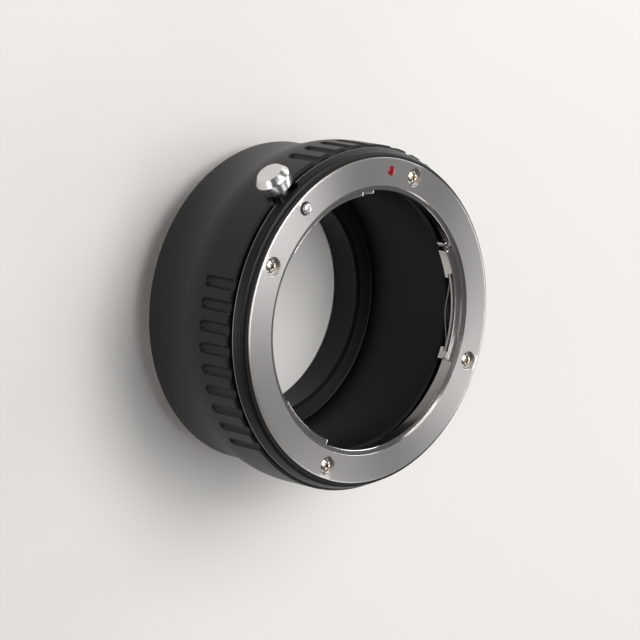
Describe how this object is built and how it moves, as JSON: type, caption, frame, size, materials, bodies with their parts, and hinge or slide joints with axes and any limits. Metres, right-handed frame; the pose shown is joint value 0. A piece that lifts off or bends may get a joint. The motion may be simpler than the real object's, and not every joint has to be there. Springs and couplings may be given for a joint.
{
  "type": "lens mount adapter",
  "caption": "Black metal tube adapter with a silver three-claw lens bayonet on top, a camera bayonet below, a sprung lock pin and a polished release knob.",
  "frame": {"origin": "on the optical axis, in the plane of the camera seat", "axes": "+Z along the optical axis towards the lens, +Y through the lens index dot"},
  "size_m": [0.064, 0.064, 0.0331],
  "materials": {
    "black_anodised": "satin black anodised, matte inside",
    "chrome_plate": "turned brass with bright plate, fine circular lay",
    "nickel_screw": "bright nickel plate",
    "pin_steel": "ground and polished nose",
    "spring_steel": "bright rolled strip and drawn wire",
    "polished_steel": "lathe polished",
    "red_enamel": "glossy enamel drop",
    "white_enamel": "glossy enamel drop"
  },
  "bodies": {
    "housing": {"adapter_body": "black_anodised", "lens_bayonet": "chrome_plate", "camera_bayonet": "chrome_plate", "lens_mount_screws": "nickel_screw", "camera_mount_screws": "nickel_screw", "leaf_spring_1": "spring_steel", "leaf_spring_2": "spring_steel", "leaf_spring_3": "spring_steel", "lens_index_dot": "red_enamel", "camera_index_dot": "white_enamel", "lock_pin_spring": "spring_steel"},
    "release": {"lock_pin": "pin_steel", "release_knob": "polished_steel"}
  },
  "joints": [
    {"name": "release_slide", "type": "slide", "parent": "housing", "child": "release", "axis": [0, 0, -1], "range_m": [0, 0.0018], "stiffness_N_per_m": 300, "springref_m": -0.003, "deforming": ["lock_pin_spring"]}
  ]
}
